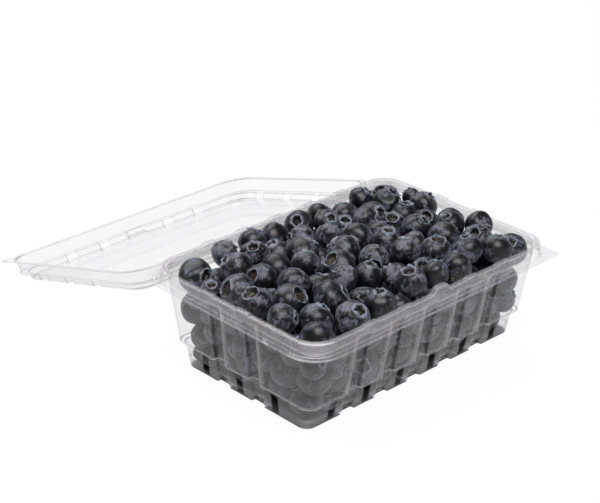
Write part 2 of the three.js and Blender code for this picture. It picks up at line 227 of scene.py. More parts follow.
length = partial(setting, unit="LENGTH", precision=5)
share = partial(setting, max=1, subtype="FACTOR")
power = partial(setting, unit="POWER")
colour = partial(setting, kind=bpy.props.FloatVectorProperty, max=1, size=3, subtype="COLOR")


class PunnetPlastic(bpy.types.PropertyGroup):
    tray_sheet: length("Tray sheet", "Thickness of the tray's sheet", SHEET * MM)
    lid_sheet: length("Lid sheet", "Thickness of the lid's sheet", LID_SHEET * MM)
    web_sheet: length("Hinge sheet", "Thickness of the bent strip between the flanges", WEB_SHEET * MM)
    bend: length("Bend", "Radius to which the sheet's folds are rounded", FOLD_RADIUS * MM)
    tint: colour("Tint", "Colour of the light that the sheet scatters", (0.41, 0.395, 0.44))
    haze: share("Haze", "How much one face of the sheet hides, seen straight on", 0.049)
    edge_haze: share("Edge haze", "How much one face of the sheet hides, seen edge on", 0.3)
    # Painted lines along the folds, standing in for their highlights: how much they hide, and their colour
    # on the tray and, grey, on the lid, where they also paint the folds' dark edges.
    fold_line_highlight: share("Fold haze", "How much more it hides along a fold", 0.32)
    tray_fold_highlight: colour("Tray folds", "Colour of the light that the tray's folds scatter", (0.75, 0.74, 0.77))
    lid_fold_highlight_and_shade: colour("Lid folds", "Colour of the light that the lid's folds scatter", (0.42, 0.41, 0.41))


class PunnetBerries(bpy.types.PropertyGroup):
    skin: colour("Skin", "Skin where the bloom is rubbed off", (0.003, 0.003, 0.004))
    bloom: colour("Bloom", "Waxy bloom on the bluest berries", (0.15, 0.175, 0.25))
    bloom_warm: colour("Warm bloom", "Waxy bloom on the reddest berries", (0.167, 0.165, 0.21))
    ring: colour("Crown ring", "Pale edge of the crown", (0.27, 0.3, 0.37))
    hollow: colour("Crown hollow", "Wall of the hollow in the crown", (0.004, 0.003, 0.003))
    pit: colour("Crown floor", "Floor of the hollow in the crown", (0.025, 0.017, 0.009))
    scar: colour("Stem scar", "Scar where the stem came off", (0.2, 0.13, 0.035))
    unevenness: share("Unevenness", "How far a berry's skin strays from a smooth ball", 0.06)


class PunnetStage(bpy.types.PropertyGroup):
    floor: colour("Floor", "Colour of the floor", (0.08, 0.08, 0.08))
    glow: share("Floor glow", "Light that the floor gives off, as a light table does", 0.92)
    key: power("Key light", "Soft light above the camera", 11)
    back: power("Back light", "Large soft light above and behind the punnet", 12)
    tent: share("Tent", "Brightness of the surroundings at the sides", 0.15)
    fill: share("Fill", "Brightness of the surroundings overhead", 0.02)
    lens: setting("Lens", "Focal length on a 36 mm sensor", 101.64, subtype="DISTANCE_CAMERA")


# ---- Modelling helpers ----


def select_only(*objects):
    bpy.ops.object.select_all(action="DESELECT")
    for obj in objects:
        obj.select_set(True)
    bpy.context.view_layer.objects.active = objects[0]


def start_editing(obj, mode="VERT"):
    select_only(obj)
    bpy.ops.object.mode_set(mode="EDIT")
    bpy.ops.mesh.select_mode(type=mode)


def stop_editing():
    bpy.ops.object.mode_set(mode="OBJECT")


def pick(obj, kind, test):
    """Selects the vertices, edges or faces that pass a test, and nothing else."""
    bpy.ops.mesh.select_all(action="DESELECT")
    mesh = bmesh.from_edit_mesh(obj.data)
    for element in getattr(mesh, kind):
        if test(element):
            element.select_set(True)
    mesh.select_flush_mode()
    bmesh.update_edit_mesh(obj.data)


def mark(obj, layer, value):
    """Writes a value to an attribute of the selected vertices."""
    mesh = bmesh.from_edit_mesh(obj.data)
    values = mesh.verts.layers.float.get(layer) or mesh.verts.layers.float.new(layer)
    for vertex in mesh.verts:
        if vertex.select:
            vertex[values] = value
    bmesh.update_edit_mesh(obj.data)


def apply_modifier(obj, kind, **settings):
    select_only(obj)
    modifier = obj.modifiers.new(kind.title(), kind)
    for name, value in settings.items():
        setattr(modifier, name, value)
    bpy.ops.object.modifier_apply(modifier=modifier.name)


def finish_piece(obj, name, body, node, material):
    """Names a finished piece, gives it its material and puts it on its body in place of a node."""
    obj.name = name
    obj.data.name = name
    obj.data.materials.clear()
    obj.data.materials.append(material)
    if body:
        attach(obj, body)
    if node:
        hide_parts(node)
    return obj


# ---- Outlines of the tray and the lid ----

# One level of a sheet: its height, its insets from the outline on the long, short and back sides, the
# radius of its corners and of the pointed one, how far a groove or flute goes in and up, how far the tab
# does, how much of a fold it is, which sets the highlight painted along it (on the floor, its glow, whose
# drop is a painted shadow), and how much clearer the sheet is where a flute has stretched it.
FIELDS = "z long short back radius point groove rise tab tab_rise fold clear"
Level = namedtuple("Level", FIELDS, defaults=[0] * 6)


def mix_levels(a, b, part):
    return Level(*(p + (q - p) * part for p, q in zip(a, b)))


def part_way(a, b, distance):
    """The level at a distance from one level towards another, half the way at most."""
    span = math.hypot(b.z - a.z, b.long - a.long)
    return mix_levels(a, b, min(0.5, distance / span))


def rim_level(z, inset, **extra):
    radius = CORNER_RADIUS - inset * CORNER_SHRINK
    return Level(z, inset, inset, inset, radius, radius)._replace(**extra)


def flange_levels(z):
    """A sheet's last two levels, its lip and its edge, which keep clear of the hinge strip."""
    back = -(HINGE_OFFSET - WEB_HALF)
    return [
        rim_level(z, LIP - FLANGE_OVERHANG, back=back + LIP, point=POINT_RADIUS - LIP),
        rim_level(z, -FLANGE_OVERHANG, back=back, point=POINT_RADIUS),
    ]


def bent(levels, bend):
    """The same levels with every fold between them rounded by a short curve."""
    rounded = [levels[0]]
    for before, fold, after in zip(levels, levels[1:], levels[2:]):
        start, end = (part_way(fold, level, bend) for level in (before, after))
        for step in range(BEND_STEPS + 1):
            part = step / BEND_STEPS
            curve = mix_levels(mix_levels(start, fold, part), mix_levels(fold, end, part), part)
            # The bend's middle points get the highlight painted along folds.
            haze = FOLD_HIGHLIGHT.get(fold.z, PLAIN_FOLD)
            rounded.append(curve._replace(fold=haze) if 0 < step < BEND_STEPS else curve)
    return rounded + [levels[-1]]


def ease(part):
    part = min(1, max(0, part))
    return part * part * (3 - 2 * part)


def centres(count, pitch, centre):
    return [centre + (i - (count - 1) / 2) * pitch for i in range(count)]


LONG_GROOVES = centres(LONG_PANELS - 1, LONG_PITCH, 0)
SHORT_GROOVES = centres(SHORT_PANELS - 1, SHORT_PITCH, SHORT_CENTRE)
LONG_SLOTS = centres(LONG_PANELS, LONG_PITCH, 0)
SHORT_SLOTS = centres(SHORT_PANELS, SHORT_PITCH, SHORT_CENTRE)


def plateau(at, places, half):
    """1 inside any of the places, easing to 0 over a crease."""
    return max(ease((half + CREASE - abs(at - place)) / CREASE) for place in places) if places else 0


def crease_stations(places, half):
    steps = [CREASE * i / EASE_STEPS for i in range(EASE_STEPS + 1)]
    return [place + side * (half + step) for place in places for side in (-1, 1) for step in steps]


Side = namedtuple("Side", "stations groove tab")
NO_TAB = partial(plateau, places=(), half=0)


def grooved_side(places, half, stations=(), tab=NO_TAB):
    """A side with a groove of some half width at each place, and stations of its own besides."""
    groove = partial(plateau, places=places, half=half)
    return Side([*crease_stations(places, half), *stations], groove, tab)


def stations_round(sides):
    """(side, place along it) for every station, and (corner, share of its turn), anticlockwise."""
    stations = []
    for number, side in enumerate(sides):
        ordered = sorted(set(round(at, 4) for at in side.stations), reverse=number > 1)
        stations += [(number, at, None) for at in ordered]
        stations += [(number, None, step / CORNER_STEPS) for step in range(CORNER_STEPS + 1)]
    return stations


def ring_points(stations, sides, level, pointed):
    """Where each station of a level lies, and how much of a fold it is: (x, y, z, fold)."""
    end = LENGTH / 2 - level.short
    reach = (WIDTH / 2 - level.long, end, WIDTH / 2 - level.back, end)
    points = []
    for number, at, turn in stations:
        if at is None:
            points.append(corner_point(number, turn, reach, level, pointed))
            continue
        tab = sides[number].tab(at) if level.tab or level.tab_rise else 0
        groove = sides[number].groove(at) * (1 - tab)
        away = reach[number] - groove * level.groove - tab * level.tab
        z = level.z + groove * level.rise + tab * level.tab_rise
        x, y = ((at, -away), (away, at), (at, away), (-away, at))[number]
        leaving = sides[number].groove(at + CREASE_PROBE) < groove
        points.append((x, y, z, fold_at(level, groove, leaving)))
    return points


def fold_at(level, groove, leaving):
    """How much of a fold a point is, and so how much highlight is painted on it, by its level and by
    where it is on the way in or out of a groove.
    """
    crease = max(0, 1 - abs(groove - CREASE_LINE) / CREASE_LINE) * min(1, max(0, level.groove))
    fold = min(1, level.fold) + max(0, level.fold - 1) * (1 - groove)
    return max(fold, crease * CREASE_HIGHLIGHT[leaving]) - level.clear * groove


def corner_point(corner, turn, reach, level, pointed):
    radius = level.point if corner == pointed else level.radius
    sign_x = 1 if corner in (0, 1) else -1
    sign_y = 1 if corner in (1, 2) else -1
    reach_x, reach_y = reach[1], reach[1 + sign_y]
    angle = (corner - 1 + turn) * math.pi / 2
    x = sign_x * (reach_x - radius) + radius * math.cos(angle)
    y = sign_y * (reach_y - radius) + radius * math.sin(angle)
    # Round a corner a fold is painted stronger, as a glint there.
    return x, y, level.z, level.fold * (1 + CORNER_GLINT * math.sin(math.pi * turn))


def put_in_place(sheet, ring):
    """Moves the selected loop of points to its ring, and notes how much of a fold each one is."""
    mesh = bmesh.from_edit_mesh(sheet.data)
    station = mesh.verts.layers.int["station"]
    folded = mesh.verts.layers.float["fold"]
    for vertex in mesh.verts:
        if vertex.select:
            x, y, z, fold = ring[vertex[station]]
            vertex.co = Vector((x, y, z)) * MM
            vertex[folded] = fold


def extruded_sheet(sides, levels, pointed, upright):
    """A sheet drawn level by level: a circle's points are put in place, and its edge is extruded."""
    stations = stations_round(sides)
    rings = [ring_points(stations, sides, level, pointed) for level in levels]
    bpy.ops.mesh.primitive_circle_add(vertices=len(rings[0]), radius=LENGTH / 2 * MM, fill_type="NOTHING")
    sheet = bpy.context.object
    start_editing(sheet, "EDGE")
    mesh = bmesh.from_edit_mesh(sheet.data)
    mesh.verts.layers.float.new("fold")
    station = mesh.verts.layers.int.new("station")
    ordered = sorted(mesh.verts, key=lambda v: math.atan2(v.co.y, v.co.x) % math.tau)
    for number, vertex in enumerate(ordered):
        vertex[station] = number
    bpy.ops.mesh.select_all(action="SELECT")
    put_in_place(sheet, rings[0])
    for ring in rings[1:]:
        bpy.ops.mesh.extrude_region_move()
        put_in_place(sheet, ring)
    panel = levels[0].z * MM
    near = 0.1 * MM
    pick(sheet, "edges", lambda edge: edge.is_boundary and abs(edge.verts[0].co.z - panel) < near)
    bpy.ops.mesh.edge_face_add()
    bpy.ops.mesh.select_all(action="SELECT")
    bpy.ops.mesh.normals_make_consistent(inside=False)
    mesh = bmesh.from_edit_mesh(sheet.data)
    largest = max(mesh.faces, key=lambda face: face.calc_area())
    if (largest.normal.z > 0) != upright:
        bpy.ops.mesh.flip_normals()
    stop_editing()
    return sheet


def thicken(sheet, thickness):
    apply_modifier(sheet, "SOLIDIFY", thickness=thickness, offset=-1, use_even_offset=True)
    bpy.ops.object.shade_smooth_by_angle(angle=SMOOTH_ANGLE)
    apply_modifier(sheet, "WEIGHTED_NORMAL", mode="FACE_AREA", keep_sharp=True)


# ---- Tray ----


def wall_level(z, insets, groove, **extra):
    radius = BASE_RADIUS + (WALL_RADIUS - BASE_RADIUS) * z / WALL_TOP
    return Level(z, *insets, insets[0], radius, radius, groove)._replace(**extra)


def wall_levels():
    """The tray from its floor to the top of its walls."""
    floor = [inset + SLOT_FLOOR_REACH for inset in BASE_INSET]
    edge = [inset + step for inset, step in zip(LEDGE_INSET, LEDGE_STEP)]

    def foot(z):
        return [base + (top - base) * z / LEDGE for base, top in zip(BASE_INSET, edge)]

    return [
        wall_level(0, floor, GROOVE_DEPTH_BASE, radius=FLOOR_RADIUS, point=FLOOR_RADIUS),
        # The foot gets a little of the folds' painted paleness all over.
        wall_level(0, BASE_INSET, GROOVE_DEPTH_BASE, fold=FOOT_PALE),
        wall_level(FOOT_TOP, foot(FOOT_TOP), GROOVE_DEPTH_FOOT, fold=FOOT_PALE),
        wall_level(SLOT_TOP, foot(SLOT_TOP), GROOVE_DEPTH_FOOT),
        wall_level(LEDGE - LEDGE_DROP, edge, GROOVE_DEPTH_FOOT),
        wall_level(LEDGE, LEDGE_INSET, GROOVE_DEPTH_LEDGE),
        wall_level(WALL_TOP, (WALL_TOP_INSET, WALL_TOP_INSET), GROOVE_DEPTH),
    ]


def tray_levels(bend):
    """The sheet's underside, from the floor up the wall, over the rim and out to the flange's edge."""
    under = FLANGE_TOP - SHEET
    # The rim gets a little of the folds' painted paleness all over.
    top = {"groove": -RIM_BUMP_OUT, "rise": RIM_BUMP, "tab_rise": TAB_RISE, "fold": RIM_PALE}
    walls = wall_levels()
    rim = [
        rim_level(under, RIM_WIDTH + RIM_DRAFT, fold=RIM_PALE),
        rim_level(RIM_TOP - SHEET, RIM_WIDTH - SHEET, **top),
        rim_level(RIM_TOP - SHEET, SHEET, **top),
        rim_level(under, SHEET, fold=RIM_PALE),
    ]
    slot = [level.z for level in walls].index(SLOT_TOP)
    foot = bent(walls[: slot + 1], FOOT_BEND * bend)
    return foot + bent([*walls[slot:], *rim, *flange_levels(under)], bend)[1:]


def tab_dome(at):
    """The lift tab's outline: 1 over its flat top, round at the shoulders, flared in its lower half."""
    away = abs(at - TAB_CENTRE)
    if away >= TAB_HALF + TAB_FLARE:
        return 0
    if away > TAB_HALF:
        return 0.5 * ((TAB_HALF + TAB_FLARE - away) / TAB_FLARE) ** 2
    return 0.5 + 0.5 * math.sqrt(max(0, 1 - (away / TAB_HALF) ** TAB_SQUARENESS))


def tray_sides():
    """The tray's front, right, back and left, in the order that the stations run round it."""
    long_slots = [slot + side * SLOT_HALF for slot in LONG_SLOTS for side in (-1, 1)]
    short_slots = [slot + side * SLOT_HALF for slot in SHORT_SLOTS for side in (-1, 1)]
    reach = TAB_HALF + TAB_FLARE
    turns = [math.pi / 2 * step / TAB_STEPS for step in range(-TAB_STEPS, TAB_STEPS + 1)]
    tab_stations = [TAB_CENTRE + reach * math.sin(turn) for turn in turns]
    front = grooved_side(LONG_GROOVES, GROOVE_HALF, long_slots + tab_stations, tab_dome)
    end = grooved_side(SHORT_GROOVES, GROOVE_HALF, short_slots)
    back = grooved_side(LONG_GROOVES, GROOVE_HALF, long_slots)
    return [front, end, back, end]


def in_slot(centre):
    """Whether a point of the sheet lies in one of the slots at the panels' feet."""
    x, y, z = centre / MM
    if z > SLOT_TOP:
        return False
    over_long = abs(y) > WIDTH / 2 - BASE_INSET[0] - SLOT_FLOOR_REACH
    over_short = abs(x) > LENGTH / 2 - BASE_INSET[1] - SLOT_FLOOR_REACH
    in_long = over_long and any(abs(x - slot) < SLOT_HALF for slot in LONG_SLOTS)
    in_short = over_short and any(abs(y - slot) < SLOT_HALF for slot in SHORT_SLOTS)
    return in_long or in_short


def model_tray(plastic):
    tray = extruded_sheet(tray_sides(), tray_levels(plastic.bend / MM), pointed=0, upright=False)
    start_editing(tray, "FACE")
    pick(tray, "faces", lambda face: in_slot(face.calc_center_median()))
    bpy.ops.mesh.delete(type="FACE")
    stop_editing()
    thicken(tray, plastic.tray_sheet)
    return tray


# ---- Lid ----


def lid_levels(bend):
    """The sheet's top side, from the panel down its two tiers and out to the flange's edge."""
    over = FLANGE_TOP + LID_GAP + LID_SHEET
    ceiling = RIM_TOP + TAB_RISE + LID_GAP + LID_SHEET
    steps = (
        (TIER_TWO_TOP, PANEL_INSET, ceiling + TAB_ROOM_ROUND, TAB_ROOM[2]),
        (TIER_TWO_TOP - TIER_TWO_ROUND, TIER_TWO_INSET + TIER_TWO_ROUND, ceiling, TAB_ROOM[1]),
        (TIER_ONE_TOP, TIER_TWO_INSET, TIER_ONE_TOP, TAB_ROOM[0]),
    )
    walls = [
        rim_level(z, inset, groove=FLUTE_DEPTH, tab=room - inset, tab_rise=room_z - z, clear=FLUTE_CLEAR)
        for z, inset, room_z, room in steps
    ]
    panel = rim_level(TIER_TWO_TOP, PANEL_INSET + PANEL_MARGIN)
    tier = [rim_level(TIER_ONE_TOP, TIER_ONE_INSET + TIER_ONE_DRAFT), rim_level(over, TIER_ONE_INSET)]
    return bent([panel, *walls, *tier, *flange_levels(over)], bend)


def lid_sides():
    """The lid's front, right, back and left, with flutes in place of grooves."""
    end_flutes = [SHORT_GROOVES[0] - SHORT_PITCH, *SHORT_GROOVES]
    beside_tab = [x for x in LONG_GROOVES if abs(x - TAB_CENTRE) > 2 * TAB_HALF]
    room = grooved_side([TAB_CENTRE], TAB_ROOM_HALF)
    front = grooved_side(beside_tab, FLUTE_HALF, room.stations, room.groove)
    end = grooved_side(end_flutes, FLUTE_HALF)
    return [front, end, grooved_side(LONG_GROOVES, FLUTE_HALF), end]


def lid_droop():
    """How far below level the open lid lies when the far edge of its panel meets the table."""
    along = HINGE_Y + WIDTH / 2 - PANEL_INSET
    deep = TIER_TWO_TOP - HINGE_Z
    return math.asin((HINGE_Z - TABLE_GAP) / math.hypot(along, deep)) - math.atan2(deep, along)


def opened(point):
    """Where a point of the shut lid lies once the lid is open."""
    centre = Vector((0, HINGE_Y, HINGE_Z))
    return centre + Matrix.Rotation(-(math.pi + lid_droop()), 3, "X") @ (Vector(point) - centre)


def model_lid(plastic):
    lid = extruded_sheet(lid_sides(), lid_levels(plastic.bend / MM), pointed=3, upright=True)
    for vertex in lid.data.vertices:
        vertex.co = opened(vertex.co / MM) * MM
    thicken(lid, plastic.lid_sheet)
    return lid


def model_web(plastic):
    """The bent strip between the two flanges: a grid whose rows hang in a shallow channel."""
    tray_edge = Vector((0, HINGE_Y - WEB_HALF, FLANGE_TOP - SHEET))
    lid_edge = opened((0, HINGE_Y - WEB_HALF, FLANGE_TOP + LID_GAP + LID_SHEET))
    straight = LENGTH / 2 + FLANGE_OVERHANG - CORNER_RADIUS - CORNER_SHRINK * FLANGE_OVERHANG
    columns, rows = WEB_STEPS
    bpy.ops.mesh.primitive_grid_add(x_subdivisions=columns, y_subdivisions=rows, size=2)
    web = bpy.context.object
    for vertex in web.data.vertices:
        part = (vertex.co.y + 1) / 2
        at = tray_edge.lerp(lid_edge, part)
        drop = WEB_DEPTH * math.sin(math.pi * part) ** 2
        vertex.co = Vector((vertex.co.x * straight, at.y, at.z - drop)) * MM
    apply_modifier(web, "SOLIDIFY", thickness=plastic.web_sheet, offset=1)
    bpy.ops.object.shade_smooth_by_angle(angle=SMOOTH_ANGLE)
    return web


# ---- Berries ----


def random_from(seed):
    """A small seeded generator, so that every run draws the same numbers."""
    multiplier, modulus = 16807, 2147483647
    state = seed
    while True:
        state = (state * multiplier) % modulus
        yield state / modulus


def wall_inset(z, kind):
    """Inset of the inner wall's panels at a height, on the long (0) or the short (1) sides."""
    part = (z - LEDGE) / (WALL_TOP - LEDGE)
    if part > 1:
        return RIM_WIDTH + SHEET
    if part > 0:
        return SHEET + LEDGE_INSET[kind] + (WALL_TOP_INSET - LEDGE_INSET[kind]) * part
    foot = LEDGE_INSET[kind] + LEDGE_STEP[kind]
    return SHEET + foot + (BASE_INSET[kind] - foot) * (1 - z / LEDGE)


def reach_at(distance, radius):
    return math.sqrt(radius * radius - distance * distance) if distance < radius else 0


def berry_inset(along, z, radius, kind):
    """How far inside the outline a berry's middle stays, past the panel, the ledge and the grooves."""
    wall = wall_inset(z, kind)
    inset = wall + radius
    over_ledge = z - LEDGE
    ledge_edge = SHEET + LEDGE_INSET[kind] + LEDGE_STEP[kind]
    if over_ledge > 0:
        inset = max(inset, ledge_edge + reach_at(over_ledge, radius))
    over_groove = max(0, z - WALL_TOP)
    depth = WALL_TOP_INSET + SHEET + GROOVE_DEPTH if over_groove > 0 else wall + GROOVE_DEPTH_LEDGE
    for centre in (LONG_GROOVES, SHORT_GROOVES)[kind]:
        aside = max(0, abs(along - centre) - GROOVE_HALF - CREASE)
        off = math.sqrt(aside * aside + over_groove * over_groove)
        if off < radius:
            inset = max(inset, depth + reach_at(off, radius))
    return inset + BERRY_GAP


def heap_top(x, y):
    u = 2 * x / LENGTH
    v = 2 * y / WIDTH
    return HEAP_EDGE - HEAP_LEAN * v + HEAP_RISE * (1 - u * u) * (1 - v * v)


def poured_berry(draw):
    """A berry of a random size, at a random place, with its crown's axis turned at random."""
    size = (next(draw) + next(draw)) / 2
    return SimpleNamespace(
        radius=BERRY_RADIUS[0] + (BERRY_RADIUS[1] - BERRY_RADIUS[0]) * size,
        x=(next(draw) - 0.5) * LENGTH * POUR_SPREAD[0],
        y=(next(draw) - 0.5) * WIDTH * POUR_SPREAD[1],
        z=POUR_LOW + next(draw) * POUR_DEPTH,
        axis=Vector((next(draw) - 0.5, next(draw) - 0.5, next(draw) - CROWN_LOW)).normalized(),
    )


def hold_inside(berry, corner):
    """Keeps a berry within the walls, whose corners have this radius for its middle, and in the heap."""
    limit_x = LENGTH / 2 - berry_inset(berry.y, berry.z, berry.radius, 1)
    limit_y = WIDTH / 2 - berry_inset(berry.x, berry.z, berry.radius, 0)
    berry.x = min(limit_x, max(-limit_x, berry.x))
    berry.y = min(limit_y, max(-limit_y, berry.y))
    corner_x = abs(berry.x) - (limit_x - corner)
    corner_y = abs(berry.y) - (limit_y - corner)
    out = math.sqrt(corner_x * corner_x + corner_y * corner_y)
    if corner_x > 0 and corner_y > 0 and out > corner:
        pull = 1 - corner / out
        berry.x -= math.copysign(corner_x * pull, berry.x)
        berry.y -= math.copysign(corner_y * pull, berry.y)
    floor = SHEET + BERRY_GAP + berry.radius
    berry.z = max(floor, min(heap_top(berry.x, berry.y) - berry.radius, berry.z))


def push_apart(berries):
    for i, p in enumerate(berries):
        for q in berries[i + 1 :]:
            reach = p.radius + q.radius
            dz = q.z - p.z
            if dz >= reach or dz <= -reach:
                continue
            dx = q.x - p.x
            dy = q.y - p.y
            squared = dx * dx + dy * dy + dz * dz
            if squared >= reach * reach or squared == 0:
                continue
            distance = math.sqrt(squared)
            part = (0.5 * (reach - distance)) / distance
            p.x -= dx * part
            p.y -= dy * part
            p.z -= dz * part
            q.x += dx * part
            q.y += dy * part
            q.z += dz * part


def packed_berries():
    """Berries poured in at random, then shaken until they lie against the walls and each other."""
    draw = random_from(POUR_SEED)
    berries = [poured_berry(draw) for _ in range(BERRY_COUNT)]
    for _ in range(PACK_STEPS):
        for berry in berries:
            berry.z -= PACK_DROP
        push_apart(berries)
        for berry in berries:
            hold_inside(berry, HEAP_CORNER)
    fill_gaps(berries, draw)
    return berries


def fill_gaps(berries, draw):
    """Puts small berries near the walls wherever one fits between those already there."""
    for radius, depth, kind, row in product(FILL_RADII, FILL_DEPTHS, (0, 1), range(1, FILL_ROWS)):
        half_along = (LENGTH, WIDTH)[kind] / 2 - radius
        z = max(SHEET + BERRY_GAP + radius, row * FILL_STEP)
        for step in range(int(2 * half_along / FILL_STEP)):
            along = (step + next(draw)) * FILL_STEP - half_along
            away = (WIDTH, LENGTH)[kind] / 2 - berry_inset(along, z, radius, kind) - depth
            for side in (-1, 1):
                place = (along, side * away) if kind == 0 else (side * away, along)
                add_if_free(berries, draw, radius, place, z)


def add_if_free(berries, draw, radius, place, z):
    """Adds a small berry if the others leave it room. Low down, behind the wall, it is squeezed in."""
    small = SimpleNamespace(x=place[0], y=place[1], z=z, radius=radius)
    below_rim = z + radius < WALL_TOP
    hold_inside(small, max(0, WALL_RADIUS - SHEET - radius) if below_rim else HEAP_CORNER)
    squeeze = FILL_SQUEEZE[0] if small.z + radius < FILL_HIDDEN else FILL_SQUEEZE[1]
    for other in berries:
        reach = other.radius + radius * (1 - squeeze)
        dx = small.x - other.x
        if -reach < dx < reach:
            dy = small.y - other.y
            dz = small.z - other.z
            if dx * dx + dy * dy + dz * dz < reach * reach:
                return
    small.axis = poured_berry(draw).axis
    berries.append(small)


# The crowns, in shares of the berry's radius: how wide the ring is and how thick, how high it stands,
# how far its five lobes spread and rise, and how deep and how narrow the hollow inside it is.
Crown = namedtuple("Crown", "name width thick stand spread tip deep narrow")
CROWNS = (
    Crown("open_crown", 0.95, 0.085, 0.06, 1.25, 0.02, 0.26, 0.9),
    Crown("folded_crown", 1.0, 0.12, 0.07, 0.82, 0.01, 0.22, 0.85),
    Crown("worn_crown", 1.1, 0.07, 0.03, 1.1, 0.01, 0.22, 0.95),
    Crown("small_crown", 0.7, 0.07, 0.05, 1.2, 0.02, 0.2, 0.85),
)

# What all the berries share: the ball's faces, the crown's lobes and flare, the pit and the stem scar.
SEGMENTS = 35
RINGS = 20
LOBES = 5
CROWN_ANGLE = math.radians(24)
SCAR_ANGLE = math.radians(170)
LOBE_STEPS = (-0.6, 0, 0.7)
RING_FLARE = 1.04
PIT_EDGE = 0.18
PIT_SINK = 0.03
SCAR_EDGE = 0.05
SCAR_SINK = 0.045
SCAR_SHRINK = 0.7

# What the crown's attribute holds at its root, on its ring, on the ring's top and in its hollow.
CROWN_ROOT = 0.25
CROWN_RING = 0.5
CROWN_TOP = 0.6
CROWN_HOLLOW = 1

# Unevenness, in units of the radius: lumps and ragged crowns by (noise scale, size), dents in every so
# many berries, and how far the noise, the turn and the skin's tone move on from one berry to the next.
# Without NOISE_SEED, or with 0, Blender's vector noise would differ from run to run.
NOISE_SEED = 1
LUMPS = ((1.3, 1), (3.5, 0.35))
RAGGED = (4, 0.09)
DENT_EVERY = 4
DENT_EDGE = 0.8
DENT_SIZE = 0.7
NEXT_DRIFT = (7.3, 3.1, 1.7)
NEXT_TWIST = 2.4
NEXT_TONE = 0.618


def move_selected(rise, scale, centre_z):
    bpy.ops.transform.translate(value=(0, 0, rise))
    bpy.ops.transform.resize(value=(scale, scale, 1), center_override=(0, 0, centre_z))


def polar(point):
    return point.angle(Vector((0, 0, 1)), 0)


def model_berry(crown):
    """One berry of unit radius, crown up: a ball whose poles are extruded into crown and scar."""
    bpy.ops.mesh.primitive_uv_sphere_add(segments=SEGMENTS, ring_count=RINGS, radius=1)
    berry = bpy.context.object
    start_editing(berry, "FACE")
    pick(berry, "faces", lambda face: polar(face.calc_center_median()) < CROWN_ANGLE)
    bpy.ops.transform.resize(value=(crown.width, crown.width, 1), center_override=(0, 0, 1))
    mark(berry, "crown", CROWN_ROOT)
    bpy.ops.mesh.extrude_region_move()
    move_selected(crown.stand, RING_FLARE, 1)
    mark(berry, "crown", CROWN_RING)
    bpy.ops.mesh.inset(thickness=crown.thick)
    mark(berry, "crown", CROWN_TOP)
    bpy.ops.mesh.extrude_region_move()
    move_selected(-crown.deep, crown.narrow, 1)
    mark(berry, "crown", CROWN_HOLLOW)
    bpy.ops.mesh.inset(thickness=PIT_EDGE)
    move_selected(-PIT_SINK, 1, 1)
    mark(berry, "pit", 1)
    bpy.ops.mesh.select_mode(type="VERT")
    shape_lobes(berry, crown)
    bpy.ops.mesh.select_mode(type="FACE")
    pick(berry, "faces", lambda face: polar(face.calc_center_median()) > SCAR_ANGLE)
    bpy.ops.mesh.inset(thickness=SCAR_EDGE)
    move_selected(SCAR_SINK, SCAR_SHRINK, -1)
    mark(berry, "scar", 1)
    bpy.ops.mesh.select_all(action="SELECT")
    bpy.ops.transform.resize(value=(1, 1, BERRY_FLATNESS), center_override=(0, 0, 0))
    stop_editing()
    bpy.ops.object.shade_smooth()
    return berry


def shape_lobes(berry, crown):
    """Spreads and raises the ring of the crown in five lobes, a little more at each step inwards."""
    low = math.cos(CROWN_ANGLE) + 0.4 * crown.stand

    def lobe(vertex):
        return math.cos(LOBES * math.atan2(vertex.co.y, vertex.co.x))

    for step in LOBE_STEPS:
        pick(berry, "verts", lambda vertex: vertex.co.z > low and lobe(vertex) > step)
        move_selected(crown.tip, crown.spread ** (1 / len(LOBE_STEPS)), 1)
    pick(berry, "verts", lambda vertex: vertex.co.z > low and lobe(vertex) < LOBE_STEPS[0])
    move_selected(-0.5 * crown.stand, 1, 1)


def placed_copy(original, berry, number, unevenness):
    """A copy of a berry with its own mesh, made uneven, turned along its axis and put in its place."""
    copy = original.copy()
    copy.data = original.data.copy()
    bpy.context.collection.objects.link(copy)
    drift = Vector([number * step for step in NEXT_DRIFT])
    stretch = Vector([1 + unevenness * noise.noise(drift + offset) for offset in Matrix.Identity(3)])
    dent = noise.noise_vector(drift).normalized() if number % DENT_EVERY == 0 else None
    crown = copy.data.attributes["crown"].data
    for vertex, ring in zip(copy.data.vertices, crown):
        point = vertex.co
        lump = sum(height * noise.noise(point * scale + drift) for scale, height in LUMPS)
        if ring.value > CROWN_ROOT:
            point += RAGGED[1] * noise.noise_vector(point * RAGGED[0] + drift)
        point *= 1 + unevenness * lump
        if dent:
            facing = point.normalized().dot(dent)
            point -= dent * DENT_SIZE * max(0, facing - DENT_EDGE)
        vertex.co = point * stretch
    turn = Vector((0, 0, 1)).rotation_difference(berry.axis).to_matrix().to_4x4()
    twist = Matrix.Rotation(number * NEXT_TWIST, 4, "Z")
    place = Matrix.Translation(Vector((berry.x, berry.y, berry.z)) * MM)
    copy.data.transform(place @ turn @ twist @ Matrix.Scale(berry.radius * MM, 4))
    tone = copy.data.attributes.new("tone", "FLOAT", "POINT")
    tone.data.foreach_set("value", [(number * NEXT_TONE) % 1] * len(copy.data.vertices))
    return copy


def model_berries(crown, berries, unevenness):
    noise.seed_set(NOISE_SEED)
    original = model_berry(crown)
    copies = [placed_copy(original, berry, number, unevenness) for number, berry in berries]
    bpy.data.objects.remove(original)
    select_only(*copies)
    bpy.ops.object.join()
    return bpy.context.object


